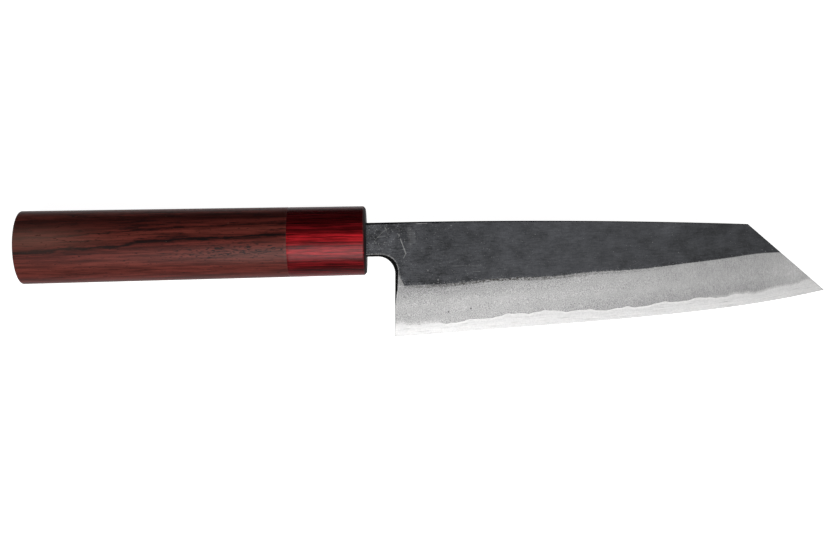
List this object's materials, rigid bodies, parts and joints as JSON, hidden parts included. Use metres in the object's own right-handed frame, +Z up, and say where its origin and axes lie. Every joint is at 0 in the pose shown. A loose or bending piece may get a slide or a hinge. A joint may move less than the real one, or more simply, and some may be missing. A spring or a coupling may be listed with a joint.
{
  "type": "kiritsuke knife",
  "caption": "Kitchen knife with an angled K-tip, a forge-black laminated steel blade with a ground bevel, and an oval rosewood handle with a red ferrule.",
  "frame": {"origin": "on the surface that the knife lies on, under the middle of its overall box", "axes": "+X along the handle's axis towards the tip, +Y towards the spine's side, +Z up out of the right face's side. The knife lies on its left side at rest, on the ferrule's rim and the belly of the edge: rolled about X so that the edge is down, with the tip end 1.15 degrees down"},
  "size_m": [0.3093, 0.0498, 0.0246],
  "materials": {
    "core_steel": "finely ground hard steel",
    "cladding_iron": "forge-black scale above, sandblasted grey bevel below",
    "ferrule_laminate": "dyed and laminated wood, red and black, polished",
    "rosewood": "oiled rosewood, fine-sanded",
    "dowel_wood": "plain hardwood, unseen",
    "resin": "cured resin, unseen",
    "wax": "black wax"
  },
  "bodies": {
    "root": {"core_steel": "core_steel", "right_cladding": "cladding_iron", "left_cladding": "cladding_iron", "ferrule": "ferrule_laminate", "handle_body": "rosewood", "dowel": "dowel_wood", "tang_bedding": "resin", "mouth_seal": "wax"}
  },
  "joints": []
}
